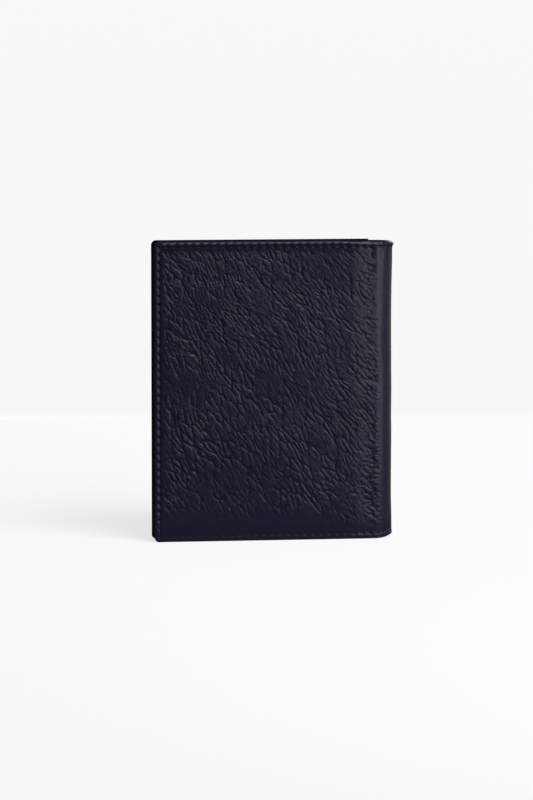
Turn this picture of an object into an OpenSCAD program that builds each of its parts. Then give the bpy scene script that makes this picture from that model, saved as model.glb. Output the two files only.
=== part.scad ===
// Vertical bifold card holder, closed and standing on its bottom edge.
// Millimetres. Z up, fold towards +X, open edge towards -X,
// back cover towards +Y and front cover towards -Y.
// The origin is the centre of the bounding box's bottom face.

/* [Outside] */
// Width of the closed holder, from the open edge to the fold
closed_w = 80; // [78:1:92]
// Height of the covers
body_h = 100; // [98:1:112]
// Corner radius at the open edge
corner_r = 1.6; // [1:0.1:4]
// Air between the two halves when closed
halves_gap = 0.46; // [0.4:0.02:1]

/* [Layers of one half] */
// Cover leather
leather_t = 0.9; // [0.8:0.05:1.2]
// Stiffening board behind the cover
board_t = 0.25; // [0.2:0.05:0.6]
// Woven lining on the board
lining_t = 0.15; // [0.15:0.05:0.4]
// Woven panel behind the card pockets
slip_t = 0.15; // [0.15:0.05:0.4]
// Leather of one card pocket
pocket_t = 0.4; // [0.35:0.05:0.7]
// Room in each pocket for one card
slot_gap = 0.78; // [0.78:0.02:1.2]
// Paint on the cut edges
coat_t = 0.25; // [0.2:0.05:0.5]

/* [Card pockets] */
// How far a card goes in
slot_depth = 48; // [44:1:49]
// Distance from one pocket mouth to the next
mouth_step = 8; // [5:0.5:8]
// Width of the filler strips at the sewn edges
filler_w = 3.25; // [3:0.25:4]
// Width of the seam that stops a card
stop_w = 1.5; // [1:0.25:3]

/* [Stitching] */
// Distance from one stitch to the next
stitch_pitch = 2.75; // [2:0.05:4]
// Bare gap between two stitches
stitch_gap = 0.5; // [0.4:0.05:0.9]
// Thread diameter outside
thread_d = 0.36; // [0.3:0.02:0.4]
// Thread diameter inside
inner_thread_d = 0.3; // [0.2:0.02:0.3]
// Seam distance from the open edge
seam_side = 1.8; // [1.6:0.1:2.6]
// Seam distance from the top and bottom edges
seam_end = 1.8; // [1.4:0.1:2.4]
// Width of the groove the seam lies in
groove_w = 0.56; // [0.52:0.02:0.7]
// Depth of that groove
groove_d = 0.45; // [0.42:0.01:0.5]

/* [Fold] */
// Half of the bare angle where the leather creases
crease_half = 2; // [2:0.5:4]

/* [Hidden] */
$fn = 64;
pocket_count = 3;

// one half, measured inwards from its cover's outer face
board_at = leather_t;
lining_at = board_at + board_t;
slip_at = lining_at + lining_t + slot_gap;
pockets_at = slip_at + slip_t;
pocket_pitch = slot_gap + pocket_t;
half_t = pockets_at + pocket_count * pocket_pitch;

fold_r = half_t + halves_gap / 2;
fold_x = closed_w / 2 - fold_r;
open_x = -closed_w / 2;
inner_x = open_x + coat_t;
inner_h = body_h - 2 * coat_t;
inner_r = corner_r - coat_t;
floor_x = inner_x + filler_w;
slip_mouth = fold_x - 1;

// angles about the fold's centre line, from +X
arc_from = 45 + crease_half;
arc_turn = 90 - arc_from;
spine_half = 45 - crease_half;

inner_groove_d = inner_thread_d - 0.08;
thread_len = stitch_pitch - stitch_gap;
row_start = open_x + seam_side;
row_len = fold_x - 0.3 - row_start;
row_count = floor(row_len / stitch_pitch);
side_len = body_h - 2 * seam_end;
side_count = floor(side_len / stitch_pitch);
stitch_turn = thread_len / fold_r * 180 / PI;
pitch_turn = stitch_pitch / fold_r * 180 / PI;
spine_side_count = floor((spine_half - stitch_turn / 2) / pitch_turn);

// pocket 1 lies innermost and has the mouth furthest from the fold
function pocket_mouth(k) = floor_x + slot_depth + (k - 1) * mouth_step;
function pocket_floor(k) = floor_x + (k - 1) * mouth_step;
function pocket_at(k) = pockets_at + (pocket_count - k) * pocket_pitch + slot_gap;
function gap_at(k) = pocket_at(k) - slot_gap;

// depth of the innermost layer at x
function face_depth(x) =
  let (open = [for (k = [1:pocket_count]) if (x < pocket_mouth(k)) k])
  len(open) > 0 ? pocket_at(open[0]) + pocket_t
  : x < slip_mouth ? slip_at + slip_t
  : lining_at + lining_t;

function near_mouth(x) =
  len([for (k = [1:pocket_count]) if (abs(x - pocket_mouth(k)) < thread_len / 2 + 0.1) k]) > 0
  || abs(x - slip_mouth) < thread_len / 2 + 0.1;

// flat outline in X and Z with the two corners at the open edge rounded
module outline(x0, x1, inset, r) {
  z0 = inset;
  z1 = body_h - inset;
  translate([x0 + r, z0]) square([x1 - x0 - r, z1 - z0]);
  translate([x0, z0 + r]) square([r + 0.01, z1 - z0 - 2 * r]);
  translate([x0 + r, z0 + r]) circle(r = r);
  translate([x0 + r, z1 - r]) circle(r = r);
}

// a flat layer: the 2D child, from depth at inwards by t
module layer(at, t) {
  translate([0, fold_r - at, 0])
    rotate([90, 0, 0])
      linear_extrude(height = t) children();
}

module inner_sheet(at, t, x1) {
  layer(at, t) outline(inner_x, x1, coat_t, inner_r);
}

module arc_band(at, t, from, turn, z0, z1) {
  translate([fold_x, 0, 0])
    rotate([0, 0, from])
      rotate_extrude(angle = turn)
        translate([fold_r - at - t, z0]) square([t, z1 - z0]);
}

// section of a sheet that is flat from x0 to the fold, then follows it to an angle
module bent_profile(at, t, x0, to) {
  translate([x0, fold_r - at - t]) square([fold_x - x0, t]);
  intersection() {
    translate([fold_x, 0])
      difference() {
        circle(r = fold_r - at);
        circle(r = fold_r - at - t);
      }
    polygon([
      [fold_x, 0],
      [fold_x + 2 * fold_r * cos(to), 2 * fold_r * sin(to)],
      [fold_x + 2 * fold_r, 2 * fold_r],
      [fold_x, 2 * fold_r]
    ]);
  }
}

module bent_sheet(at, t, x0, inset, r) {
  intersection() {
    linear_extrude(height = body_h) bent_profile(at, t, x0, arc_from);
    layer(-1, fold_r + 1) outline(x0, closed_w, inset, r);
  }
}

module seam_cut(at, t, x1) {
  x0 = row_start - groove_w / 2;
  layer(at, t) {
    translate([x0, seam_end - groove_w / 2]) square([groove_w, side_len + groove_w]);
    for (z = [seam_end, body_h - seam_end])
      translate([x0, z - groove_w / 2]) square([x1 - x0, groove_w]);
  }
}

module cover_leather() {
  difference() {
    bent_sheet(0, leather_t, open_x, 0, corner_r);
    layer(-1, 1 + groove_d)
      translate([row_start - groove_w / 2, seam_end - groove_w / 2])
        square([groove_w, side_len + groove_w]);
    for (z = [seam_end, body_h - seam_end])
      translate([0, 0, z - groove_w / 2])
        linear_extrude(height = groove_w)
          bent_profile(-1, 1 + groove_d, row_start, arc_from - 1);
  }
}

module board() {
  inner_sheet(board_at, board_t, slip_mouth);
}

module lining() {
  bent_sheet(lining_at, lining_t, inner_x, coat_t, inner_r);
}

module slip_panel() {
  inner_sheet(slip_at, slip_t, slip_mouth);
}

module pocket(k) {
  difference() {
    inner_sheet(pocket_at(k), pocket_t, pocket_mouth(k));
    if (k == 1)
      seam_cut(half_t - inner_groove_d, inner_groove_d + 1, pocket_mouth(1) + 1);
  }
}

// filler strips: one in each gap that the sewn edge closes
module fillers(z0, z1, x1_side) {
  layer(lining_at + lining_t, slot_gap)
    filler_strip(slip_mouth, z0, z1, x1_side);
  for (k = [1:pocket_count])
    layer(gap_at(k), slot_gap)
      filler_strip(pocket_mouth(k), z0, z1, x1_side);
}

module filler_strip(mouth, z0, z1, x1_side) {
  intersection() {
    outline(inner_x, mouth, coat_t, inner_r);
    translate([inner_x, z0]) square([min(mouth, x1_side) - inner_x, z1 - z0]);
  }
}

module filler_top() {
  fillers(body_h - coat_t - filler_w, body_h - coat_t, closed_w);
}

module filler_bottom() {
  fillers(coat_t, coat_t + filler_w, closed_w);
}

module filler_side() {
  fillers(coat_t + filler_w, body_h - coat_t - filler_w, floor_x);
}

// the seams that close pockets 2 and 3 short of the outer seam
module card_stops() {
  for (k = [2:1:pocket_count])
    layer(gap_at(k), slot_gap)
      translate([pocket_floor(k) - stop_w, coat_t + filler_w])
        square([stop_w, inner_h - 2 * filler_w]);
}

module coat_band(at, t, x1) {
  layer(at, t)
    difference() {
      outline(open_x, x1, 0, corner_r);
      outline(inner_x, x1 + 1, coat_t, inner_r);
    }
}

module edge_coat() {
  coat_band(board_at, slip_at + slip_t - board_at, slip_mouth);
  for (k = [1:pocket_count])
    coat_band(gap_at(k), pocket_pitch, pocket_mouth(k));
}

module stitch_x(x, y, z, d) {
  translate([x - thread_len / 2, y, z])
    rotate([0, 90, 0])
      cylinder(d = d, h = thread_len, $fn = 16);
}

module stitch_z(y, z, d) {
  translate([row_start, y, z - thread_len / 2])
    cylinder(d = d, h = thread_len, $fn = 16);
}

module arc_stitch(angle, r, d) {
  for (z = [seam_end, body_h - seam_end])
    translate([fold_x, 0, z])
      rotate([0, 0, angle - stitch_turn / 2])
        rotate_extrude(angle = stitch_turn)
          translate([r, 0]) circle(d = d, $fn = 16);
}

module thread() {
  outer_y = fold_r - thread_d / 2 - 0.02;
  side_y = fold_r - half_t + inner_groove_d - inner_thread_d / 2;
  for (i = [0:row_count - 1]) {
    x = row_start + (i + 0.5) * row_len / row_count;
    depth = face_depth(x);
    sunk = x < pocket_mouth(1) ? inner_groove_d : 0;
    inner_y = fold_r - depth + sunk - inner_thread_d / 2;
    for (z = [seam_end, body_h - seam_end]) {
      stitch_x(x, outer_y, z, thread_d);
      if (!near_mouth(x)) stitch_x(x, inner_y, z, inner_thread_d);
    }
  }
  for (i = [0:side_count - 1]) {
    z = seam_end + (i + 0.5) * side_len / side_count;
    stitch_z(outer_y, z, thread_d);
    stitch_z(side_y, z, inner_thread_d);
  }
  arc_stitch(arc_from + arc_turn / 2, fold_r - thread_d / 2 - 0.02, thread_d);
}

module spine_leather() {
  difference() {
    arc_band(0, leather_t, -spine_half, 2 * spine_half, 0, body_h);
    for (z = [seam_end, body_h - seam_end])
      arc_band(-1, 1 + groove_d, -spine_half - 1, 2 * spine_half + 2, z - groove_w / 2, z + groove_w / 2);
  }
}

module spine_reinforcement() {
  arc_band(board_at, board_t, -spine_half, 2 * spine_half, coat_t, body_h - coat_t);
}

module spine_lining() {
  arc_band(lining_at, lining_t, -spine_half, 2 * spine_half, coat_t, body_h - coat_t);
}

module spine_thread() {
  for (i = [-spine_side_count:spine_side_count]) {
    arc_stitch(i * pitch_turn, fold_r - thread_d / 2 - 0.02, thread_d);
    arc_stitch(i * pitch_turn, fold_r - lining_at - lining_t - inner_thread_d / 2, inner_thread_d);
  }
}

module front() {
  mirror([0, 1, 0]) children();
}

leather_colour = [0.13, 0.13, 0.2];
inner_colour = [0.15, 0.15, 0.22];
board_colour = [0.55, 0.47, 0.36];
lining_colour = [0.1, 0.1, 0.14];
coat_colour = [0.05, 0.05, 0.07];
thread_colour = [0.1, 0.1, 0.16];

module back_cover_leather() color(leather_colour) cover_leather();
module back_board() color(board_colour) board();
module back_lining() color(lining_colour) lining();
module back_slip_panel() color(lining_colour) slip_panel();
module back_pocket_1() color(inner_colour) pocket(1);
module back_pocket_2() color(inner_colour) pocket(2);
module back_pocket_3() color(inner_colour) pocket(3);
module back_filler_top() color(board_colour) filler_top();
module back_filler_bottom() color(board_colour) filler_bottom();
module back_filler_side() color(board_colour) filler_side();
module back_card_stops() color(board_colour) card_stops();
module back_edge_coat() color(coat_colour) edge_coat();
module back_thread() color(thread_colour) thread();

module front_cover_leather() color(leather_colour) front() cover_leather();
module front_board() color(board_colour) front() board();
module front_lining() color(lining_colour) front() lining();
module front_slip_panel() color(lining_colour) front() slip_panel();
module front_pocket_1() color(inner_colour) front() pocket(1);
module front_pocket_2() color(inner_colour) front() pocket(2);
module front_pocket_3() color(inner_colour) front() pocket(3);
module front_filler_top() color(board_colour) front() filler_top();
module front_filler_bottom() color(board_colour) front() filler_bottom();
module front_filler_side() color(board_colour) front() filler_side();
module front_card_stops() color(board_colour) front() card_stops();
module front_edge_coat() color(coat_colour) front() edge_coat();
module front_thread() color(thread_colour) front() thread();

back_cover_leather();
back_board();
back_lining();
back_slip_panel();
back_pocket_1();
back_pocket_2();
back_pocket_3();
back_filler_top();
back_filler_bottom();
back_filler_side();
back_card_stops();
back_edge_coat();
back_thread();
color(leather_colour) spine_leather();
color(lining_colour) spine_reinforcement();
color(inner_colour) spine_lining();
color(thread_colour) spine_thread();
front_cover_leather();
front_board();
front_lining();
front_slip_panel();
front_pocket_1();
front_pocket_2();
front_pocket_3();
front_filler_top();
front_filler_bottom();
front_filler_side();
front_card_stops();
front_edge_coat();
front_thread();
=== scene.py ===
"""Vertical bifold card holder in pebbled leather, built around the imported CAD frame."""

import math

import bpy
import numpy as np
from mathutils import Matrix, Vector


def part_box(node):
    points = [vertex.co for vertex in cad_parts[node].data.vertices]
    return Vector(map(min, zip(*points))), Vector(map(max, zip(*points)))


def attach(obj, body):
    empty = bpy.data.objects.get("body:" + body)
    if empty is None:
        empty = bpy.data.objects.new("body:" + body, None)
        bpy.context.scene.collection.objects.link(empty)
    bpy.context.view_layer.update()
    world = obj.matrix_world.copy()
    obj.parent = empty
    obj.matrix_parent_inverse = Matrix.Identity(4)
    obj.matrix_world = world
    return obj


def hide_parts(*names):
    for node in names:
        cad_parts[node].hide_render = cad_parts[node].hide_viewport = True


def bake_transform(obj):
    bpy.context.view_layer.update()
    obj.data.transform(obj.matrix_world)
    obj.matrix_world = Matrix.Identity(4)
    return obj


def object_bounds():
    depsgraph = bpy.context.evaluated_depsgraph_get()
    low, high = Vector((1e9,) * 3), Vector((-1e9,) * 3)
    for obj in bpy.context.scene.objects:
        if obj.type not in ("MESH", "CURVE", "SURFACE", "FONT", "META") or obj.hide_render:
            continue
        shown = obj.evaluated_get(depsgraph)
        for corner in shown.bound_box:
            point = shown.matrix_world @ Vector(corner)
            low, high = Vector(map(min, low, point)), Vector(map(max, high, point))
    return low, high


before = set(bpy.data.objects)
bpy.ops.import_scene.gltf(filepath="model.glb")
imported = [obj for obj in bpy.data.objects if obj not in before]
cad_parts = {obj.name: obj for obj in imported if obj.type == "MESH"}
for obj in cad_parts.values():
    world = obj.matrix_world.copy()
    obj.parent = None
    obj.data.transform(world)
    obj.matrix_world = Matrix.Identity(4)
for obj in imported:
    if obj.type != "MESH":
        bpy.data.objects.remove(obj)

cad_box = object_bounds()

MM = 0.001
SEED = 7

# ---------------------------------------------------------------- sizes, in mm, from the CAD


def corner(node, which, axis):
    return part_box(node)[which][axis] / MM


HEIGHT = cad_box[1].z / MM
OPEN_X = cad_box[0].x / MM
FOLD_R = cad_box[1].y / MM
FOLD_X = cad_box[1].x / MM - FOLD_R
FLAT_LEN = FOLD_X - OPEN_X
ARC_LEN = FOLD_R * math.pi / 2
ROW_LEN = FLAT_LEN + ARC_LEN


def depth(node):
    """How far below the back cover's outer face a layer of the back half starts."""
    return FOLD_R - corner(node, 1, 1)


def thickness(node):
    return FOLD_R - corner(node, 0, 1) - depth(node)


LEATHER_T = depth("back_board")
LINING_AT = depth("back_lining")
SLIP_AT = depth("back_slip_panel")
SLIP_T = thickness("back_slip_panel")
COAT_T = corner("back_board", 0, 0) - OPEN_X
POCKET_T = thickness("back_pocket_1")
POCKET_AT = {k: depth(f"back_pocket_{k}") for k in (1, 2, 3)}
MOUTH = {k: corner(f"back_pocket_{k}", 1, 0) for k in (1, 2, 3)}
SLIP_MOUTH = corner("back_slip_panel", 1, 0)

# ---------------------------------------------------------------- sizes, in mm, of what the CAD keeps plain

# The seams' distance from the open edge, and from the top and bottom edges.
SEAM_SIDE = 1.4
SEAM_END = 1.8
END_STITCHES = 30
SIDE_STITCHES = 35
END_PITCH = (ROW_LEN - SEAM_SIDE) / END_STITCHES
SIDE_PITCH = (HEIGHT - 2 * SEAM_END) / SIDE_STITCHES

CORNER_R = 1.6
COVER_CORNER = {"low": 1.3, "high": 1.7}
# The cover's rounded edge: how far in it starts and how far down it ends.
EDGE_W = 1.5
EDGE_DROP = 0.52

# The cover's outline: its bottom edge bows up, and the fold's two ends are drawn in.
BOTTOM_BOW = 0.13
FOLD_LIFT = 1.05
FOLD_DROP = 0.42

# Heights of the cover's relief.
GROOVE_DEPTH = 0.24
GROOVE_SWING = 0.07
HOLE_DEPTH = 0.28
PILLOW = 0.11
PADDING = 0.26
CROWN = 0.45
RIB_HEIGHT = 0.12
FLARE_TOP = 0.72
FLARE_BOTTOM = 0.45
FOLD_EASE = 0.85
# How far the flat cover starts below the CAD's face, to leave room for its relief.
COVER_SINK = 0.25

# Thread: its size, what is left free at each end of a stitch, how deep a stitch lies below the cover's
# face or how far it stands above an inner one, how far its ends dip, and how far it slants.
THREAD_W = 0.4
THREAD_SIDES = 8
THREAD_RINGS = 9
OUTER_THREAD_H = 0.32
INNER_THREAD_H = 0.22
STITCH_GAP = 0.16
FOLD_STITCH_GAP = 0.2
OUTER_DEPTH = {"top": 0.44, "bottom": 0.38, "side": 0.43}
OUTER_DIP, OUTER_SLANT = 0.30, 0.10
INNER_DIP, INNER_SLANT, INNER_RISE = 0.12, 0.08, 0.06
FOLD_DIP, FOLD_RISE = 0.05, 0.04

# Grid steps.
COVER_STEP = 0.3
SHEET_STEP = 0.4
SHEET_Z_STEP = 3.0
POCKET_STEP = 0.42
POCKET_Z_STEP = 0.55
EDGE_LINES = (0.0, 0.02, 0.07, 0.15, 0.26, 0.4, 0.58, 0.8)
POCKET_LINES = (0.0, 0.03, 0.09, 0.18, 0.3)

# ---------------------------------------------------------------- noise

PERIOD = 64
JITTER = 0.95
TABLE = np.random.RandomState(SEED).rand(PERIOD, PERIOD, 4)


def smooth(low, high, x):
    """Eases from 0 at low to 1 at high."""
    t = np.clip((x - low) / (high - low), 0, 1)
    return t * t * (3 - 2 * t)


def noise(x, y, k):
    """Value noise from 0 to 1. k picks one of the table's four layers."""
    xi, yi = np.floor(x).astype(int), np.floor(y).astype(int)
    fx, fy = x - xi, y - yi
    fx = fx**3 * (fx * (fx * 6 - 15) + 10)
    fy = fy**3 * (fy * (fy * 6 - 15) + 10)

    def at(i, j):
        return TABLE[(xi + i) % PERIOD, (yi + j) % PERIOD, k]

    low = at(0, 0) * (1 - fx) + at(1, 0) * fx
    high = at(0, 1) * (1 - fx) + at(1, 1) * fx
    return low * (1 - fy) + high * fy


def cells(a, b, shift):
    """Distance to the nearest cell centre, how much further the next one is, and the cell's own number."""
    ai, bi = np.floor(a).astype(int), np.floor(b).astype(int)
    best = np.full(a.shape, 9.0)
    second = np.full(a.shape, 9.0)
    own = np.zeros(a.shape)
    for i in (-2, -1, 0, 1, 2):
        for j in (-1, 0, 1):
            ca, cb = ai + i, bi + j
            r = TABLE[(ca + shift) % PERIOD, (cb + 3 * shift) % PERIOD]
            fa = ca + 0.5 + JITTER * (r[..., 0] - 0.5) + 0.5 * (cb % 2)
            fb = cb + 0.5 + JITTER * (r[..., 1] - 0.5)
            d = np.hypot(a - fa, b - fb)
            near = d < best
            second = np.where(near, best, np.minimum(second, d))
            own = np.where(near, r[..., 2], own)
            best = np.minimum(best, d)
    return best, second - best, own


def turned(x, z, angle):
    """The same place in axes turned by that many degrees."""
    c, s = np.cos(np.radians(angle)), np.sin(np.radians(angle))
    return x * c - z * s, x * s + z * c


def grain(x, z, size=1.0):
    """Height in mm of tumbled grain: long cells that run down to the right, with creases between."""
    wx = x + 1.7 * (noise(x / 8, z / 8, 0) - 0.5) + 0.6 * (noise(x / 2.1 + 7, z / 2.1, 1) - 0.5)
    wz = z + 1.7 * (noise(x / 8 + 30, z / 8 + 11, 1) - 0.5)
    wz = wz + 0.6 * (noise(x / 2.1, z / 2.1 + 19, 2) - 0.5)
    angle = 54 + 10 * (noise(x / 30 + 3, z / 30 + 5, 2) - 0.5) - 0.12 * x - 0.05 * (z - 50)
    a, b = turned(wx, wz, angle)
    f1, edge, own = cells(a / (5.6 * size), b / (1.6 * size), 3)
    broken = smooth(0.2, 0.6, noise(a / 3.8 + 5, b / 2.1 + 3, 0))
    crease = -np.exp(-((edge / 0.17) ** 2)) * (0.2 + 0.8 * broken)
    dome = (0.55 - f1) * 0.35 + (own - 0.5) * 0.3
    a, b = turned(wx, wz, angle + 16)
    _, edge, own = cells(a / (2.2 * size) + 9, b / (1.15 * size) + 4, 21)
    broken = smooth(0.3, 0.6, noise(a / 2.4 + 15, b / 2.4 + 33, 3))
    fine = -np.exp(-((edge / 0.26) ** 2)) * broken + (own - 0.5) * 0.3
    return crease * 0.20 + dome * 0.035 + fine * 0.05


# ---------------------------------------------------------------- meshes


def new_object(name, verts, faces, sign=1, smooth_faces=True):
    """verts in mm. sign -1 mirrors the back half's shape to the front."""
    v = np.asarray(verts, float) * MM
    if sign < 0:
        v = v * np.array([1, -1, 1])
        faces = [tuple(reversed(f)) for f in faces]
    mesh = bpy.data.meshes.new(name)
    mesh.from_pydata(v.tolist(), [], faces)
    mesh.validate()
    mesh.polygons.foreach_set("use_smooth", [smooth_faces] * len(mesh.polygons))
    mesh.update()
    obj = bpy.data.objects.new(name, mesh)
    bpy.context.scene.collection.objects.link(obj)
    return obj


def store(obj, name, kind, values):
    """A value per point that the material reads."""
    attribute = obj.data.attributes.new(name, kind, "POINT")
    field = "vector" if kind == "FLOAT_VECTOR" else "value"
    attribute.data.foreach_set(field, np.asarray(values, np.float32).ravel())


def slab(name, front, back, sign=1):
    """A closed sheet. front is the detailed face, as a grid of points, and back gives the plain face's rim.
    Returns the object and the grid place of each of its points."""
    n, m = front.shape[:2]
    index = np.arange(n * m).reshape(n, m)
    ring = [(i, 0) for i in range(n)] + [(n - 1, j) for j in range(1, m)]
    ring += [(i, m - 1) for i in range(n - 2, -1, -1)] + [(0, j) for j in range(m - 2, 0, -1)]
    under = {place: n * m + k for k, place in enumerate(ring)}
    verts = np.concatenate([front.reshape(-1, 3), np.array([back[p] for p in ring])])
    quads = np.stack([index[:-1, :-1], index[:-1, 1:], index[1:, 1:], index[1:, :-1]], -1)
    faces = [tuple(q) for q in quads.reshape(-1, 4).tolist()]
    for k, place in enumerate(ring):
        after = ring[(k + 1) % len(ring)]
        faces.append((int(index[place]), int(index[after]), under[after], under[place]))
    for i in range(1, n - 2):
        faces.append((under[i, 0], under[i + 1, 0], under[i + 1, m - 1], under[i, m - 1]))
    first = [under[0, j] for j in range(m - 1, -1, -1)] + [under[1, 0], under[1, m - 1]]
    last = [under[n - 1, j] for j in range(m)] + [under[n - 2, m - 1], under[n - 2, 0]]
    faces += [tuple(first), tuple(last)]
    obj = new_object(name, verts, faces, sign)
    places = [(i, j) for i in range(n) for j in range(m)] + ring
    # The plain face's rim is a hard edge.
    low = np.zeros(len(verts), bool)
    low[n * m :] = True
    edges = np.array([e.vertices[:] for e in obj.data.edges])
    sharp = obj.data.attributes.new("sharp_edge", "BOOLEAN", "EDGE")
    sharp.data.foreach_set("value", (low[edges[:, 0]] & low[edges[:, 1]]).tolist())
    return obj, np.array(places)


def spaced(length, step, low=(), high=()):
    """Grid lines from 0 to length with extra ones near either end."""
    start = low[-1] if len(low) else 0
    stop = length - (high[-1] if len(high) else 0)
    even = np.linspace(start, stop, max(2, round((stop - start) / step) + 1))
    return np.concatenate([low[:-1], even, [length - h for h in reversed(high[:-1])]])


def round_corners(s, z, height, r_low, r_high):
    """Moves the grid's two corners at the open edge onto arcs."""
    s, z = s.copy(), z.copy()
    for top, r in ((False, r_low), (True, r_high)):
        v = height - z if top else z
        p, q = r - s, r - v
        inside = (p > 0) & (q > 0)
        length = np.where(inside, np.hypot(p, q), 1)
        f = np.where(inside, np.maximum(p, q) / length, 1)
        s = np.where(inside, r - p * f, s)
        v = np.where(inside, r - q * f, v)
        z = height - v if top else v
    return s, z


def edge_distance(s, z, height, r_low, r_high):
    """Distance inwards from the rounded outline. The fold isn't part of it."""
    v = np.minimum(z, height - z)
    r = np.where(z < height / 2, r_low, r_high)
    corner_d = r - np.hypot(r - s, r - v)
    return np.where((s < r) & (v < r), corner_d, np.minimum(s, v))


def on_fold(s, z, at):
    """Point at that depth below the outer face, s along the outer face from the open edge; y is positive."""
    turn = np.clip((s - FLAT_LEN) / FOLD_R, 0, None)
    r = FOLD_R - at
    x = np.where(s < FLAT_LEN, OPEN_X + s, FOLD_X + r * np.sin(turn))
    y = r * np.cos(turn)
    return np.stack([x, y, z], -1)


def fold_ends(s):
    """Lowest and highest z of the cover at s. Both ends of the fold are drawn in, the bottom one more."""
    a = np.clip((s - FLAT_LEN) / ARC_LEN, 0, 1)
    bow = BOTTOM_BOW * np.sin(np.pi * np.clip(s / FLAT_LEN, 0, 1))
    lift = FOLD_LIFT * (1 - np.exp(-((a / 0.72) ** 2)))
    return bow + lift, HEIGHT - FOLD_DROP * smooth(FLAT_LEN - 13, FLAT_LEN - 1, s)


def seam_map(s, z):
    """Signed distance from the nearest seam line, positive inwards, the phase along it in stitches, and
    how far it belongs to a top or bottom seam, 0 to 1."""
    low, high = fold_ends(s)
    bottom, top, side = z - low - SEAM_END, high - z - SEAM_END, s - SEAM_SIDE
    end = np.minimum(bottom, top)
    on_end = end < side
    phase = np.where(on_end, (s - SEAM_SIDE) / END_PITCH, (z - SEAM_END) / SIDE_PITCH)
    return np.where(on_end, end, side), phase, smooth(-1.5, 1.5, side - end)


def seam_relief(s, z, d, phase, level):
    """What stitching does to the cover: a groove with a dimple at each hole, and a margin that puffs up
    between holes. Returns the height and the groove's own depth."""
    to_hole = np.abs(phase - np.round(phase)) * END_PITCH
    swing = np.cos(2 * np.pi * phase)
    firm = 0.35 + 0.65 * smooth(3, 14, z)
    flank = np.where(d > 0, 0.75 + 2.2 * level, 0.45)
    groove = GROOVE_DEPTH * np.exp(-((d / flank) ** 2))
    groove = (groove + GROOVE_SWING * swing * np.exp(-((d / 0.5) ** 2))) * firm
    holes = HOLE_DEPTH * np.exp(-((d / 0.34) ** 2) - (to_hole / 0.32) ** 2) * (1 - 0.7 * level)
    inset = np.where(s < 6, SEAM_SIDE, SEAM_END)
    margin = np.clip(-d / inset, 0, 1)
    pillow = PILLOW * np.sin(np.pi * margin) * (1 - 0.6 * swing) * firm
    return pillow - groove - holes, groove


def body_relief(s, z, u, inward):
    """Padding under the leather beside the open edge's seam, the cover's crown and slow waves."""
    padding = PADDING * (1 - np.exp(-np.clip(s - SEAM_SIDE, 0, None) / 1.8))
    crown = CROWN * np.sin(np.pi * np.clip(s / FLAT_LEN, 0, 1)) * np.sin(np.pi * z / HEIGHT)
    wave = 0.22 * (noise(u / 17 + 4, z / 17, 1) - 0.5) + 0.10 * (noise(u / 7, z / 7 + 2, 3) - 0.5)
    return padding + (crown + wave) * smooth(0, 4, inward)


def fold_relief(s, z):
    """The fold's ends flare out, and the leather sinks where the flat side turns into the fold."""
    flare = FLARE_TOP * np.exp(-(HEIGHT - z) / 7) + FLARE_BOTTOM * np.exp(-z / 9)
    flare = flare * smooth(FLAT_LEN, ROW_LEN, s)
    eased = smooth(FLAT_LEN - 8.5, FLAT_LEN + 2.5, s) * (1 - smooth(FLAT_LEN + 2.5, ROW_LEN, s))
    return flare - FOLD_EASE * eased


def grain_strength(s, z, u, reach):
    """How strong the pebbles are: uneven from patch to patch, stronger towards the open edge, faint on the
    band along the bottom, and weakest on the fold."""
    patch = 0.55 + 0.75 * noise(u / 13 + 2, z / 13 + 9, 2)
    drift = 0.85 + 0.45 * np.clip(1 - s / FLAT_LEN, 0, 1) + 0.14 * (1 - z / HEIGHT)
    ragged = z + 5 * (noise(u / 6 + 8, z / 6, 0) - 0.5)
    band = 0.12 + 0.88 * smooth(5, 15, ragged)
    rolled = 1 - 0.9 * smooth(FLAT_LEN - 4, FLAT_LEN + 2.5, s)
    return patch * drift * band * rolled * reach


def fold_ribs(s, z, u, reach):
    """Short level creases where the cover turns into the fold."""
    _, edge, own = cells(u / 4.6 + 40, z / 1.35 + 0.9 * noise(u / 3, z / 3, 1), 11)
    rib = -np.exp(-((edge / 0.2) ** 2)) * 0.9 + (own - 0.5) * 0.5
    near_fold = np.exp(-(((s - FLAT_LEN + 0.9) / 2.7) ** 2)) * smooth(2, 9, z) * reach
    return RIB_HEIGHT * rib * near_fold * (0.5 + noise(u / 5 + 1, z / 8, 3))


def cover_relief(s, z, u):
    """Height in mm of the cover's surface above its plain sheet, the part of it that also colours the
    leather as painted shade in the grain's creases and the seam's groove and painted highlight on the
    pebbles' tops, and the grain's strength. u is the place along the whole opened cover."""
    d, phase, level = seam_map(s, z)
    inward = np.clip(d, 0, None)
    reach = smooth(0.2, 2.8, inward) + 0.06
    seam, groove = seam_relief(s, z, d, phase, level)
    strength = grain_strength(s, z, u, reach)
    texture = grain(u - FLAT_LEN / 2, z) * strength + fold_ribs(s, z, u, reach)
    shape = seam + body_relief(s, z, u, inward) + fold_relief(s, z)
    # The second value, the grain less half the seam's groove, is painted shade and highlight for the
    # leather's colour.
    return shape + texture, texture - 0.5 * groove, strength


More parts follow.
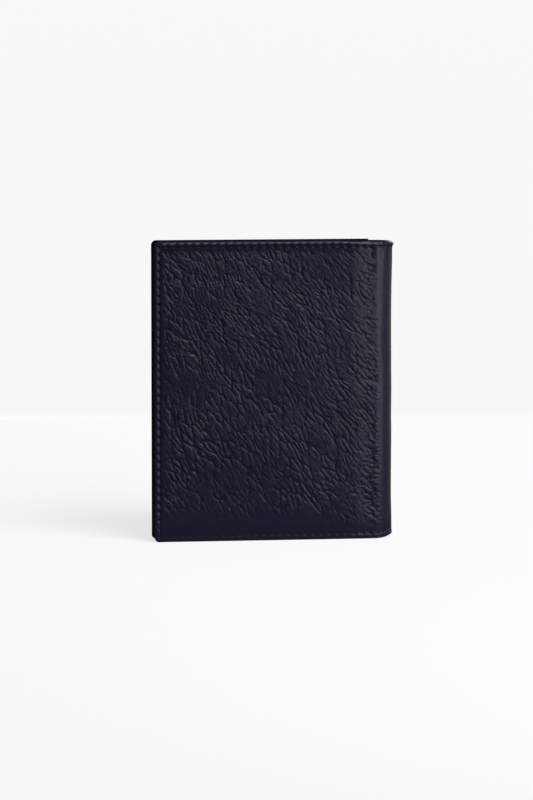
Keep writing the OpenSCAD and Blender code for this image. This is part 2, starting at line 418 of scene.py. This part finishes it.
def cover_half(name, sign, step):
    """Half of the cover's leather: one side and the fold as far as its middle."""
    s = spaced(ROW_LEN, step, EDGE_LINES)
    z = spaced(HEIGHT, step, EDGE_LINES, EDGE_LINES)
    s, z = np.meshgrid(s, z, indexing="ij")
    radii = COVER_CORNER["low"], COVER_CORNER["high"]
    s, z = round_corners(s, z, HEIGHT, *radii)
    d = edge_distance(s, z, HEIGHT, *radii)
    inner = np.clip(EDGE_W - d, 0, EDGE_W) / EDGE_W
    drop = EDGE_DROP * (1 - np.sqrt(1 - inner**2))
    low, high = fold_ends(s)
    z = low + z * (high - low) / HEIGHT
    u = s if sign < 0 else 2 * ROW_LEN - s
    relief, pebbles, strength = cover_relief(s, z, u)
    relief = relief * smooth(-0.05, 0.35, d)
    sink = COVER_SINK * (1 - smooth(0, ARC_LEN * 0.7, s - FLAT_LEN))
    front = on_fold(s, z, sink + drop - relief)
    back = on_fold(s, z, np.full(s.shape, LEATHER_T))
    obj, places = slab(name, front, back, sign)
    i, j = places[:, 0], places[:, 1]
    store(obj, "hide", "FLOAT_VECTOR", np.stack([u[i, j], z[i, j], 0 * z[i, j]], -1))
    # The material darkens the leather where this is low, painted shade in the creases and the seam's groove.
    store(obj, "relief", "FLOAT", pebbles[i, j])
    store(obj, "strength", "FLOAT", strength[i, j])
    return obj


def fold_blend(obj, sign):
    """Bakes the object's placement into its mesh, the same for either side; it does not bend it."""
    if sign > 0:
        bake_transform(obj)
    else:
        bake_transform(obj)


def inner_sheet(name, sign, at, thick, from_s):
    """A thin layer that follows the flat half and the fold, as lining and reinforcement do."""
    parts = []
    if from_s < FLAT_LEN - 1:
        parts.append(np.linspace(from_s, FLAT_LEN, round((FLAT_LEN - from_s) / 2))[:-1])
        parts.append(FLAT_LEN + spaced(ARC_LEN, SHEET_STEP))
    else:
        parts.append(from_s + spaced(ROW_LEN - from_s, SHEET_STEP))
    s = np.concatenate(parts)
    z = np.linspace(COAT_T, HEIGHT - COAT_T, round(HEIGHT / SHEET_Z_STEP))
    s, z = np.meshgrid(s, z, indexing="ij")
    if from_s < CORNER_R:
        r = CORNER_R - COAT_T
        s, z = round_corners(s - COAT_T, z - COAT_T, HEIGHT - 2 * COAT_T, r, r)
        s, z = s + COAT_T, z + COAT_T
    low, high = fold_ends(s)
    z = low + z * (high - low) / HEIGHT
    front = on_fold(s, z, np.full(s.shape, at + thick))
    back = on_fold(s, z, np.full(s.shape, at))
    # The detailed face looks inwards here, so the other half is built and mirrored.
    obj, places = slab(name, front, back, -sign)
    obj.data.transform(Matrix.Scale(-1, 4, (0, 1, 0)))
    i, j = places[:, 0], places[:, 1]
    store(obj, "hide", "FLOAT_VECTOR", np.stack([s[i, j], z[i, j], 0 * z[i, j]], -1))
    return obj


def pocket_relief(k, x, z):
    """Height of a pocket's face: fine grain, a creased line beside the mouth and the sewn edges."""
    to_mouth = MOUTH[k] - x
    crease = 0.07 * np.exp(-(((to_mouth - 1.3) / 0.22) ** 2))
    hem = 0.05 * (1 - smooth(1.3, 2.2, to_mouth))
    v = np.minimum(z, HEIGHT - z) - SEAM_END
    side = x - OPEN_X - SEAM_SIDE
    d = np.minimum(v, side)
    on_end = v < side
    phase = np.where(on_end, side / END_PITCH, (z - SEAM_END) / SIDE_PITCH)
    to_hole = np.abs(phase - np.round(phase)) * END_PITCH
    groove = 0.10 * np.exp(-((d / 0.45) ** 2))
    groove = groove + 0.14 * np.exp(-((d / 0.3) ** 2) - (to_hole / 0.28) ** 2)
    fine = grain(x + 11 * k, z + 7 * k, 0.8) * 0.6 * (0.35 + 0.65 * smooth(0.2, 2, np.abs(d)))
    wave = 0.06 * (noise(x / 9 + 3 * k, z / 9, 0) - 0.5)
    return hem - crease - groove + fine + wave - 0.03, fine


def pocket_half(name, k, sign):
    """Pocket k of one half: a leather sheet whose mouth, towards the fold, is a rounded turned edge."""
    x0 = OPEN_X + COAT_T
    length = MOUTH[k] - x0
    height = HEIGHT - 2 * COAT_T
    s = spaced(length, POCKET_STEP, POCKET_LINES)
    z = spaced(height, POCKET_Z_STEP)
    s, z = np.meshgrid(s, z, indexing="ij")
    r = CORNER_R - COAT_T
    back_s, z = round_corners(length - s, z, height, r, r)
    s, z = length - back_s, z + COAT_T
    x = MOUTH[k] - s
    r = POCKET_T / 2 - 0.02
    inner = np.clip(r - s, 0, r)
    drop = r - np.sqrt(r**2 - inner**2)
    level = FOLD_R - POCKET_AT[k] - POCKET_T
    relief, fine = pocket_relief(k, x, z)
    face = level - relief * smooth(-0.1, 0.25, s) + drop
    front = np.stack([x, face, z], -1)
    back = np.stack([x, np.full(x.shape, level + POCKET_T - 0.01), z], -1)
    obj, places = slab(name, front, back, sign)
    i, j = places[:, 0], places[:, 1]
    store(obj, "hide", "FLOAT_VECTOR", np.stack([x[i, j] + 90 * k, z[i, j], 0 * z[i, j]], -1))
    # The material darkens the pocket leather in the grain's creases from this, painted shade.
    store(obj, "relief", "FLOAT", fine[i, j])
    store(obj, "strength", "FLOAT", np.full(len(places), 0.7))
    return obj


def stitches(name, runs, sign, high):
    """Thread segments: each run is (from, to, outward direction, how far its ends dip)."""
    sides, rings = THREAD_SIDES, THREAD_RINGS
    t = np.linspace(-1, 1, rings)
    turns = np.linspace(0, 2 * np.pi, sides, endpoint=False)
    verts, faces, twist = [], [], []
    for p0, p1, out, dip in runs:
        p0, p1, out = (np.asarray(v, float) for v in (p0, p1, out))
        along = (p1 - p0) / np.linalg.norm(p1 - p0)
        across = np.cross(along, out)
        base = len(verts)
        for k, tk in enumerate(t):
            centre = (p0 + p1) / 2 + (p1 - p0) / 2 * tk - out * dip * abs(tk) ** 3.5
            slim = 0.62 + 0.38 * (1 - tk**4)
            for a in turns:
                offset = across * math.cos(a) * THREAD_W / 2 * slim + out * math.sin(a) * high / 2 * slim
                verts.append(centre + offset)
                twist.append((tk * 3 + a / math.pi, 0, 0))
        for k in range(rings - 1):
            for a in range(sides):
                b = (a + 1) % sides
                row, after = base + k * sides, base + (k + 1) * sides
                faces.append((row + a, row + b, after + b, after + a))
        faces.append(tuple(base + a for a in reversed(range(sides))))
        faces.append(tuple(base + (rings - 1) * sides + a for a in range(sides)))
    obj = new_object(name, verts, faces, sign)
    store(obj, "twist", "FLOAT_VECTOR", twist)
    return obj


def slanted(p0, p1, out, swing):
    """Turns a stitch a little about its middle, as a lock stitch lies."""
    p0, p1, out = (np.asarray(v, float) for v in (p0, p1, out))
    across = np.cross(p1 - p0, out)
    across = across / np.linalg.norm(across)
    return p0 + across * swing, p1 - across * swing


def outer_runs():
    """Stitches round the cover's outer face, up to the middle of the fold."""
    runs = []
    gap = STITCH_GAP
    for i in range(END_STITCHES):
        s0, s1 = SEAM_SIDE + i * END_PITCH + gap, SEAM_SIDE + (i + 1) * END_PITCH - gap
        turn = max(0.0, ((s0 + s1) / 2 - FLAT_LEN) / FOLD_R)
        out = (math.sin(turn), math.cos(turn), 0)
        for top in (False, True):
            ends = []
            for s in (s0, s1):
                low, high = fold_ends(np.array(s))
                z = high - SEAM_END if top else low + SEAM_END
                ends.append(on_fold(np.array(s), z, OUTER_DEPTH["top" if top else "bottom"]))
            runs.append((*slanted(*ends, out, OUTER_SLANT), out, OUTER_DIP))
    for j in range(SIDE_STITCHES):
        z0, z1 = SEAM_END + j * SIDE_PITCH + gap, SEAM_END + (j + 1) * SIDE_PITCH - gap
        ends = [on_fold(np.array(SEAM_SIDE), np.array(z), OUTER_DEPTH["side"]) for z in (z0, z1)]
        runs.append((*slanted(*ends, (0, 1, 0), OUTER_SLANT), (0, 1, 0), OUTER_DIP))
    return runs


def face_level(x):
    """y of the innermost layer of the back half at x."""
    for k in (1, 2, 3):
        if x < MOUTH[k]:
            return FOLD_R - POCKET_AT[k] - POCKET_T
    return FOLD_R - SLIP_AT - SLIP_T if x < SLIP_MOUTH else FOLD_R - LINING_AT - SLIP_T


def inner_runs():
    """Stitches on the inside of a half, over the pockets' stepped edges."""
    runs = []
    gap = STITCH_GAP
    out = (0, -1, 0)
    for i in range(END_STITCHES):
        x0 = OPEN_X + SEAM_SIDE + i * END_PITCH + gap
        x1 = x0 + END_PITCH - 2 * gap
        if x1 > SLIP_MOUTH - 0.3:
            break
        for z in (SEAM_END, HEIGHT - SEAM_END):
            ends = [np.array([x, face_level(x) + INNER_RISE, z]) for x in (x0, x1)]
            runs.append((*slanted(*ends, out, INNER_SLANT), out, INNER_DIP))
    for j in range(SIDE_STITCHES):
        x = OPEN_X + SEAM_SIDE
        z0, z1 = SEAM_END + j * SIDE_PITCH + gap, SEAM_END + (j + 1) * SIDE_PITCH - gap
        ends = [np.array([x, face_level(x) + INNER_RISE, z]) for z in (z0, z1)]
        runs.append((*slanted(*ends, out, INNER_SLANT), out, INNER_DIP))
    return runs


def fold_inner_runs():
    """Stitches on the lining inside the fold."""
    runs = []
    at = LINING_AT + SLIP_T + FOLD_RISE
    gap = FOLD_STITCH_GAP
    for i in range(END_STITCHES):
        s0 = SEAM_SIDE + i * END_PITCH + gap
        s1 = s0 + END_PITCH - 2 * gap
        if s0 < FLAT_LEN + gap:
            continue
        turn = ((s0 + s1) / 2 - FLAT_LEN) / FOLD_R
        out = (-math.sin(turn), -math.cos(turn), 0)
        for top in (False, True):
            ends = []
            for s in (s0, s1):
                low, high = fold_ends(np.array(s))
                ends.append(on_fold(np.array(s), high - SEAM_END if top else low + SEAM_END, at))
            runs.append((*ends, out, FOLD_DIP))
    return runs


# ---------------------------------------------------------------- materials

IN_MM = (1000, 1000, 1000)


class Nodes:
    """A material and short ways to add nodes to it."""

    def __init__(self, name):
        self.material = bpy.data.materials.new(name)
        self.material.use_nodes = True
        self.tree = self.material.node_tree
        self.shader = self.tree.nodes["Principled BSDF"]

    def add(self, kind, **settings):
        node = self.tree.nodes.new(kind)
        for key, value in settings.items():
            setattr(node, key, value)
        return node

    def link(self, a, b):
        self.tree.links.new(a, b)

    def stored_place(self):
        """Coordinates in mm from a stored value, so that the grain stays put when the fold bends."""
        return self.add("ShaderNodeAttribute", attribute_name="hide").outputs["Vector"]

    def object_place(self, scale):
        node = self.add("ShaderNodeTexCoord")
        mapping = self.add("ShaderNodeMapping")
        mapping.inputs["Scale"].default_value = scale
        self.link(node.outputs["Object"], mapping.inputs["Vector"])
        return mapping.outputs[0]

    def noise(self, where, scale, detail=3.0, rough=0.5):
        node = self.add("ShaderNodeTexNoise")
        node.inputs["Scale"].default_value = scale
        node.inputs["Detail"].default_value = detail
        node.inputs["Roughness"].default_value = rough
        self.link(where, node.inputs["Vector"])
        return node.outputs["Fac"]

    def to_cell_edge(self, where):
        node = self.add("ShaderNodeTexVoronoi", feature="DISTANCE_TO_EDGE")
        node.inputs["Scale"].default_value = 1.0
        self.link(where, node.inputs["Vector"])
        return node.outputs["Distance"]

    def ramp(self, value, stops):
        node = self.add("ShaderNodeValToRGB")
        elements = node.color_ramp.elements
        while len(elements) < len(stops):
            elements.new(0.5)
        for element, (place, colour) in zip(elements, stops):
            element.position = place
            element.color = (*colour, 1)
        self.link(value, node.inputs["Fac"])
        return node.outputs["Color"]

    def math(self, what, a, b):
        node = self.add("ShaderNodeMath", operation=what)
        for socket, value in zip(node.inputs, (a, b)):
            if isinstance(value, (int, float)):
                socket.default_value = value
            else:
                self.link(value, socket)
        return node.outputs[0]

    def sine(self, value):
        return self.math("SINE", value, 0.0)

    def range(self, value, low, high, to_low, to_high):
        node = self.add("ShaderNodeMapRange")
        for key, v in zip(("From Min", "From Max", "To Min", "To Max"), (low, high, to_low, to_high)):
            node.inputs[key].default_value = v
        self.link(value, node.inputs["Value"])
        return node.outputs["Result"]

    def bump(self, height, distance, strength=1.0, after=None):
        node = self.add("ShaderNodeBump")
        node.inputs["Strength"].default_value = strength
        node.inputs["Distance"].default_value = distance
        self.link(height, node.inputs["Height"])
        if after is not None:
            self.link(after, node.inputs["Normal"])
        return node.outputs["Normal"]

    def set(self, **values):
        """Sets or links the shader's own sockets, whose spaces are written as underscores."""
        for key, value in values.items():
            socket = self.shader.inputs[key.replace("_", " ")]
            if isinstance(value, (int, float, tuple)):
                socket.default_value = value
            else:
                self.link(value, socket)


# The fine creases between the pebbles: each set's turn in degrees and its cells' length and width in mm.
CREASE_CELLS = ((-54, 3.8, 1.3), (-70, 2.2, 1.1))


def leather(name, dark, light, pore, crease, relief=0.09):
    """Pebbled leather, darker in the modelled creases and seam grooves as painted shade and lighter on the
    pebbles' tops as painted highlight. pore and crease are the fine bumps' heights in metres, and relief is
    the modelled grain's in mm."""
    m = Nodes(name)
    where = m.stored_place()
    # The stored relief paints shade into the creases and the seam's groove and a highlight on the pebbles'
    # tops; the noise is the leather's own uneven tone.
    height = m.add("ShaderNodeAttribute", attribute_name="relief").outputs["Fac"]
    high = m.range(height, -relief, relief * 0.6, 0.0, 1.0)
    soft = m.range(m.noise(where, 0.06, 4.0, 0.6), 0.0, 1.0, 0.12, 0.36)
    tone_and_painted_shade = m.math("ADD", soft, m.math("MULTIPLY", high, 0.5))
    m.set(Base_Color=m.ramp(tone_and_painted_shade, [(0.2, dark), (0.7, light)]))
    shine = m.math("SUBTRACT", m.noise(where, 0.9, 4.0, 0.6), m.math("MULTIPLY", high, 0.4))
    m.set(Roughness=m.range(shine, -0.1, 0.6, 0.17, 0.27))
    m.set(Specular_IOR_Level=0.17)
    warp = m.add("ShaderNodeVectorMath", operation="SCALE")
    wobble = m.add("ShaderNodeTexNoise")
    wobble.inputs["Scale"].default_value = 0.5
    m.link(where, wobble.inputs["Vector"])
    m.link(wobble.outputs["Color"], warp.inputs[0])
    warp.inputs["Scale"].default_value = 2.2
    moved = m.add("ShaderNodeVectorMath", operation="ADD")
    m.link(where, moved.inputs[0])
    m.link(warp.outputs[0], moved.inputs[1])
    lines = None
    for turn, long, short in CREASE_CELLS:
        cell = m.add("ShaderNodeMapping", vector_type="TEXTURE")
        cell.inputs["Rotation"].default_value = (0, 0, math.radians(turn))
        cell.inputs["Scale"].default_value = (long, short, 1)
        m.link(moved.outputs[0], cell.inputs["Vector"])
        line = m.range(m.to_cell_edge(cell.outputs[0]), 0.0, 0.14, 0.0, 1.0)
        lines = line if lines is None else m.math("MULTIPLY", lines, line)
    strength = m.add("ShaderNodeAttribute", attribute_name="strength").outputs["Fac"]
    first = m.bump(m.math("MULTIPLY", m.math("SUBTRACT", lines, 1.0), strength), crease)
    pores = m.bump(m.noise(where, 5.5, 3.0, 0.55), pore, after=first)
    m.set(Normal=pores)
    return m.material


def woven(name, dark, light, bends):
    """Fine twill. A sheet that bends stores its place in mm, and a flat one is placed by its own axes."""
    m = Nodes(name)
    where = m.stored_place() if bends else m.object_place(IN_MM)
    split = m.add("ShaderNodeSeparateXYZ")
    m.link(where, split.inputs[0])
    a, b = split.outputs[0], split.outputs[1 if bends else 2]
    diagonal = m.sine(m.math("MULTIPLY", m.math("ADD", a, b), 9.0))
    cross = m.sine(m.math("MULTIPLY", b, 21.0))
    weave = m.math("ADD", m.math("MULTIPLY", diagonal, 0.6), m.math("MULTIPLY", cross, 0.4))
    height = m.range(weave, -1.0, 1.0, 0.0, 1.0)
    m.set(Base_Color=m.ramp(height, [(0.2, dark), (0.8, light)]), Roughness=0.72)
    m.set(Sheen_Weight=0.04, Sheen_Roughness=0.5, Specular_IOR_Level=0.15)
    m.set(Normal=m.bump(height, 0.00005))
    return m.material


def thread(name, dark, light):
    """Waxed thread, whose strands follow the twist stored on the stitches."""
    m = Nodes(name)
    node = m.add("ShaderNodeAttribute", attribute_name="twist")
    split = m.add("ShaderNodeSeparateXYZ")
    m.link(node.outputs["Vector"], split.inputs[0])
    strands = m.sine(m.math("MULTIPLY", split.outputs[0], 2 * math.pi))
    height = m.range(strands, -1.0, 1.0, 0.0, 1.0)
    m.set(Base_Color=m.ramp(height, [(0.1, dark), (0.9, light)]), Roughness=0.5)
    m.set(Specular_IOR_Level=0.4, Normal=m.bump(height, 0.00004))
    return m.material


def edge_paint(name, dark, light):
    """Matte paint over the layers' cut edges, which still show as faint lines along them."""
    m = Nodes(name)
    where = m.object_place(IN_MM)
    flow = m.object_place((90, 2200, 90))
    m.set(Base_Color=m.ramp(m.noise(where, 0.4, 3.0), [(0.3, dark), (0.7, light)]))
    m.set(Roughness=m.range(m.noise(where, 1.6, 3.0), 0.3, 0.7, 0.55, 0.75), Specular_IOR_Level=0.0)
    layers = m.bump(m.noise(flow, 1.0, 2.0), 0.00012, 0.6)
    m.set(Normal=m.bump(m.noise(where, 2.2, 3.0), 0.00006, 0.7, layers))
    return m.material


def fibre(name, dark, light):
    """Bonded fibre board and filler strips."""
    m = Nodes(name)
    where = m.object_place(IN_MM)
    m.set(Base_Color=m.ramp(m.noise(where, 2.4, 5.0, 0.7), [(0.3, dark), (0.7, light)]))
    m.set(Roughness=0.85, Specular_IOR_Level=0.1, Normal=m.bump(m.noise(where, 4.0, 4.0), 0.00005, 0.6))
    return m.material


COVER_COLOURS = ((0.0047, 0.0049, 0.0116), (0.0089, 0.0091, 0.0218))
# The pockets' navy is the cover's made a little lighter, painted light for the dim inside of the holder.
POCKET_COLOURS_PAINTED_LIGHTER = ((0.0050, 0.0051, 0.0125), (0.0100, 0.0101, 0.0240))
COVER = leather("cover_leather_navy", *COVER_COLOURS, pore=0.000012, crease=0.000035)
POCKET = leather("pocket_leather_navy_painted_lighter", *POCKET_COLOURS_PAINTED_LIGHTER, pore=0.00002, crease=0.00006, relief=0.06)
TWILL_COLOURS = ((0.0030, 0.0034, 0.0085), (0.0085, 0.0094, 0.0230))
TWILL = woven("lining_twill", *TWILL_COLOURS, bends=True)
PANEL = woven("slip_panel_twill", *TWILL_COLOURS, bends=False)
THREAD = thread("stitching_thread", (0.0022, 0.0024, 0.0038), (0.0060, 0.0065, 0.0090))
PAINT = edge_paint("edge_paint_black", (0.0045, 0.0045, 0.0052), (0.0085, 0.0085, 0.0095))
BOARD = fibre("stiffening_board", (0.016, 0.014, 0.013), (0.034, 0.031, 0.030))
FILLER = fibre("filler_strip", (0.010, 0.010, 0.014), (0.022, 0.021, 0.026))


def dress(obj, material):
    obj.data.materials.clear()
    obj.data.materials.append(material)
    return obj


# ---------------------------------------------------------------- the holder

cover_step = COVER_STEP * 1
for side, sign in (("front", -1), ("back", 1)):
    cover = dress(cover_half(f"{side}_cover_hide", sign, cover_step), COVER)
    fold_blend(cover, sign)
    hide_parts(f"{side}_cover_leather", *(["spine_leather"] if sign < 0 else []))

    lining = dress(inner_sheet(f"{side}_lining_cloth", sign, LINING_AT, SLIP_T, COAT_T), TWILL)
    fold_blend(lining, sign)
    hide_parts(f"{side}_lining", *(["spine_lining"] if sign < 0 else []))

    strip = inner_sheet(f"{side}_fold_reinforcement", sign, LEATHER_T + 0.02, 0.2, FLAT_LEN - 0.6)
    fold_blend(dress(strip, TWILL), sign)
    if sign < 0:
        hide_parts("spine_reinforcement")

    for k in (1, 2, 3):
        pocket = dress(pocket_half(f"{side}_pocket_hide_{k}", k, sign), POCKET)
        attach(pocket, side)
        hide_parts(f"{side}_pocket_{k}")

    sewn = dress(stitches(f"{side}_cover_stitching", outer_runs(), sign, OUTER_THREAD_H), THREAD)
    fold_blend(sewn, sign)
    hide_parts(f"{side}_thread", *(["spine_thread"] if sign < 0 else []))
    inside = dress(stitches(f"{side}_inner_stitching", inner_runs(), sign, INNER_THREAD_H), THREAD)
    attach(inside, side)
    seam = dress(stitches(f"{side}_fold_stitching", fold_inner_runs(), sign, INNER_THREAD_H), THREAD)
    fold_blend(seam, sign)

    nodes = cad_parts
    dress(nodes[f"{side}_board"], BOARD)
    dress(nodes[f"{side}_slip_panel"], PANEL)
    dress(nodes[f"{side}_edge_coat"], PAINT)
    for name in ("filler_top", "filler_bottom", "filler_side", "card_stops"):
        dress(nodes[f"{side}_{name}"], FILLER)

# ---------------------------------------------------------------- stage, light and camera


def plane(name, corners, material):
    obj = new_object(name, np.array(corners) / MM, [(0, 1, 2, 3)], smooth_faces=False)
    dress(obj, material)
    return obj


# The floor's own glow, from in front of the holder to the wall.
FLOOR_GLOW = [
    (0.0, (0.665, 0.665, 0.664)),
    (0.5, (0.72, 0.72, 0.719)),
    (1.0, (0.772, 0.772, 0.771)),
]


def pale(name, colour):
    """A matte floor that glows a little, so that it stays white behind a soft shadow."""
    m = Nodes(name)
    where = m.object_place((1, 1, 1))
    low = tuple(c * 0.99 for c in colour)
    m.set(Base_Color=m.ramp(m.noise(where, 3.0, 2.0), [(0.3, low), (0.7, colour)]))
    m.set(Roughness=0.9, Specular_IOR_Level=0.1)
    split = m.add("ShaderNodeSeparateXYZ")
    m.link(m.object_place((1, 1, 1)), split.inputs[0])
    away = m.range(split.outputs[1], -0.45, 0.40, 0.0, 1.0)
    m.set(Emission_Color=m.ramp(away, FLOOR_GLOW))
    m.set(Emission_Strength=1.0)
    return m.material


def backdrop(name):
    """Evenly lit paper that lightens towards the floor, and lets the camera see in from behind it."""
    m = Nodes(name)
    split = m.add("ShaderNodeSeparateXYZ")
    m.link(m.object_place((1, 1, 1)), split.inputs[0])
    near = m.range(split.outputs[2], 0.0, 0.8, 0.0, 1.0)
    stops = [(0.0, (0.955, 0.955, 0.955)), (0.005, (0.905, 0.905, 0.885)), (0.3, (0.93, 0.93, 0.915))]
    m.set(Emission_Color=m.ramp(near, stops), Emission_Strength=1.0)
    m.set(Base_Color=(0.02, 0.02, 0.02, 1), Roughness=1.0, Specular_IOR_Level=0.0)
    clear = m.add("ShaderNodeBsdfTransparent")
    facing = m.add("ShaderNodeNewGeometry")
    mix = m.add("ShaderNodeMixShader")
    m.link(facing.outputs["Backfacing"], mix.inputs["Fac"])
    m.link(m.shader.outputs[0], mix.inputs[1])
    m.link(clear.outputs[0], mix.inputs[2])
    m.link(mix.outputs[0], m.tree.nodes["Material Output"].inputs["Surface"])
    return m.material


# The camera's side of the holder, and the stage's sizes in metres.
AZIMUTH = math.radians(-8)
WALL_AT = 0.396
WALL_TOP = 1.2
FLOOR_FRONT = -0.46
HALF_WIDTH = 1.6


def in_view(across, away, up):
    """A place given along the camera's own directions."""
    c, s = math.cos(AZIMUTH), math.sin(AZIMUTH)
    return (across * c - away * s, across * s + away * c, up)


floor_corners = [
    in_view(-HALF_WIDTH, FLOOR_FRONT, 0),
    in_view(HALF_WIDTH, FLOOR_FRONT, 0),
    in_view(HALF_WIDTH, WALL_AT, 0),
    in_view(-HALF_WIDTH, WALL_AT, 0),
]
wall_corners = [
    in_view(-HALF_WIDTH, WALL_AT, 0),
    in_view(HALF_WIDTH, WALL_AT, 0),
    in_view(HALF_WIDTH, WALL_AT, WALL_TOP),
    in_view(-HALF_WIDTH, WALL_AT, WALL_TOP),
]
floor = plane("studio_floor", floor_corners, pale("studio_floor_white", (0.28, 0.28, 0.279)))
floor.visible_glossy = False
wall = plane("studio_wall", wall_corners, backdrop("studio_wall_white"))
wall.visible_glossy = wall.visible_diffuse = wall.visible_shadow = False


def area_light(name, place, target, size, power):
    """A rectangular light, its size in metres and its power in watts."""
    data = bpy.data.lights.new(name, "AREA")
    data.shape = "RECTANGLE"
    data.size, data.size_y = size
    data.energy = power
    obj = bpy.data.objects.new(name, data)
    bpy.context.scene.collection.objects.link(obj)
    obj.location = place
    obj.rotation_mode = "QUATERNION"
    obj.rotation_quaternion = (Vector(target) - Vector(place)).to_track_quat("-Z", "Y")
    return obj


CENTRE = Vector((0, 0, HEIGHT / 2 * MM))


def around(azimuth, elevation, distance):
    """A place round the holder: azimuth 0 is straight in front, positive is to the right."""
    a, e = math.radians(azimuth), math.radians(elevation)
    return CENTRE + distance * Vector((math.sin(a) * math.cos(e), -math.cos(a) * math.cos(e), math.sin(e)))


area_light("key_right", around(28, 41, 3.0), CENTRE, (2.1, 2.1), 101.0)
area_light("side_panel", around(39, 4, 0.45), CENTRE, (0.25, 0.22), 0.64)
area_light("rim", around(95, 4, 0.6), CENTRE, (1.0, 0.3), 0.6)
# This one reaches only the covers, their seams and the painted edges, and leaves the floor's shadow alone.
rear = area_light("rear_key", around(136, 24, 1.1), CENTRE, (0.6, 0.7), 9.0)
lit = bpy.data.collections.new("lit_from_behind")
for side in ("front", "back"):
    for name in (f"{side}_cover_hide", f"{side}_cover_stitching", f"{side}_edge_coat"):
        lit.objects.link(bpy.data.objects[name])
rear.light_linking.receiver_collection = lit
area_light("overhead", (0.0, 0.1, 1.5), (0, 0.1, 0), (2.4, 2.0), 3.0)

# The camera sees paper white past the stage, and the holder gets a much weaker light from all round.
world = bpy.data.worlds.new("studio")
bpy.context.scene.world = world
world.use_nodes = True
tree = world.node_tree
background = tree.nodes["Background"]
background.inputs["Color"].default_value = (0.9, 0.92, 1.0, 1)
background.inputs["Strength"].default_value = 0.06
seen = tree.nodes.new("ShaderNodeBackground")
seen.inputs["Color"].default_value = (0.93, 0.93, 0.915, 1)
path = tree.nodes.new("ShaderNodeLightPath")
mixed = tree.nodes.new("ShaderNodeMixShader")
tree.links.new(path.outputs["Is Camera Ray"], mixed.inputs["Fac"])
tree.links.new(background.outputs[0], mixed.inputs[1])
tree.links.new(seen.outputs[0], mixed.inputs[2])
tree.links.new(mixed.outputs[0], tree.nodes["World Output"].inputs["Surface"])

SENSOR, LENS = 36, 174.4
REACH, EYE_HEIGHT = 1.289, 0.170
TILT = math.radians(-5.471)
PAN = math.radians(0.084)

camera_data = bpy.data.cameras.new("camera")
camera = bpy.data.objects.new("camera", camera_data)
bpy.context.scene.collection.objects.link(camera)
bpy.context.scene.camera = camera
camera_data.sensor_width = SENSOR
camera_data.lens = LENS
camera_data.clip_start, camera_data.clip_end = 0.05, 20
camera.location = in_view(0, -REACH, EYE_HEIGHT)
camera.rotation_euler = (math.pi / 2 + TILT, 0, AZIMUTH + PAN)

bpy.context.scene.view_settings.view_transform = "Standard"
